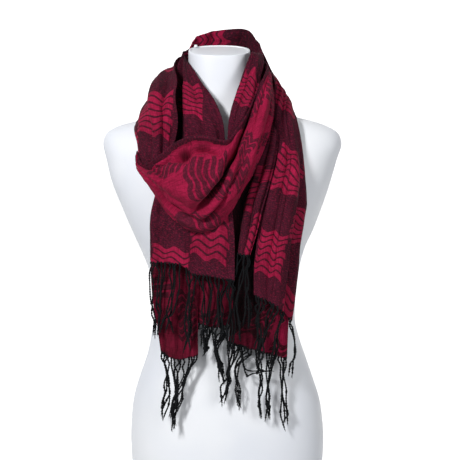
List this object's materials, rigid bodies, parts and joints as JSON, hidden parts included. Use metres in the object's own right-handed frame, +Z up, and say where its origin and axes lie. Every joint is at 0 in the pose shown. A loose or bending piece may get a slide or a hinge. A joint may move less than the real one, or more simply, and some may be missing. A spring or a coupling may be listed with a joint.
{
  "type": "fringed pashmina shawl wound on a limbless dress form",
  "caption": "Long woven shawl with wave-striped checks and knotted black fringe, looped once round the neck of a smooth limbless dress form.",
  "frame": {"origin": "centre of the dress form's flat base", "axes": "+Z up, -Y towards the front of the dress form, +X towards the viewer's right"},
  "size_m": [0.392, 0.2928, 0.7434],
  "materials": {
    "form_shell": "smooth white moulded shell with a soft satin sheen",
    "wine_cloth": "fine matt weave, dark wine ground with crimson waved stripes in checks",
    "crimson_cloth": "the cloth's other face, crimson ground with dark wine waved stripes, faint silky sheen",
    "fringe_yarn": "black twisted and knotted yarn, matt"
  },
  "bodies": {
    "root": {"dress_form": "form_shell", "left_tail_front": "wine_cloth", "left_neck_fold": "wine_cloth", "neck_back_band": "wine_cloth", "right_neck_fold": "wine_cloth", "left_shoulder_fold": "wine_cloth", "back_loop": "wine_cloth", "right_tail_front": "wine_cloth", "right_tail_middle": "wine_cloth", "front_loop": "crimson_cloth", "right_tail_back": "crimson_cloth", "left_tail_back": "crimson_cloth", "left_tail_middle": "crimson_cloth", "fringe_left_front": "fringe_yarn", "fringe_left_back": "fringe_yarn", "fringe_left_middle": "fringe_yarn", "fringe_right_middle": "fringe_yarn", "fringe_right_front": "fringe_yarn", "fringe_right_back": "fringe_yarn"}
  },
  "joints": []
}
